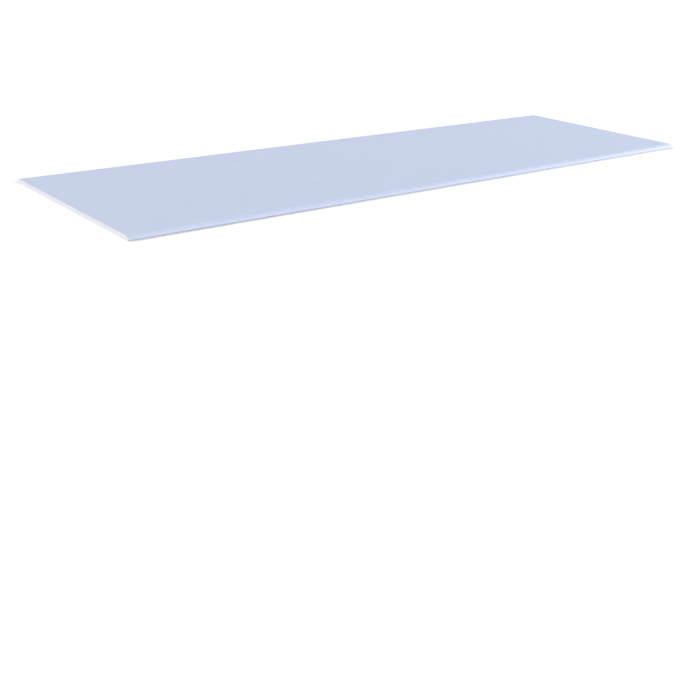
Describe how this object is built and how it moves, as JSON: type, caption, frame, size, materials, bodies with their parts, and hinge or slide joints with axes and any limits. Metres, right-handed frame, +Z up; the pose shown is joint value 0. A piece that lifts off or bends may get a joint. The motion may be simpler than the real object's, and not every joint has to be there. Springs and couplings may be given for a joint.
{
  "type": "drywall sheet",
  "caption": "Flat rectangular drywall sheet: a gypsum board with half-round, paper-wrapped long edges and square-cut ends, screwed to a frame to line a wall or ceiling.",
  "frame": {"origin": "middle of the back, the side that lies on the floor or against the wall frame", "axes": "+X along the length, +Y across the width, +Z up through the thickness, out of the face"},
  "size_m": [2, 0.625, 0.0125],
  "materials": {
    "lavender_blue_paper": "matte"
  },
  "bodies": {
    "root": {"drywall_sheet": "lavender_blue_paper"}
  },
  "joints": []
}
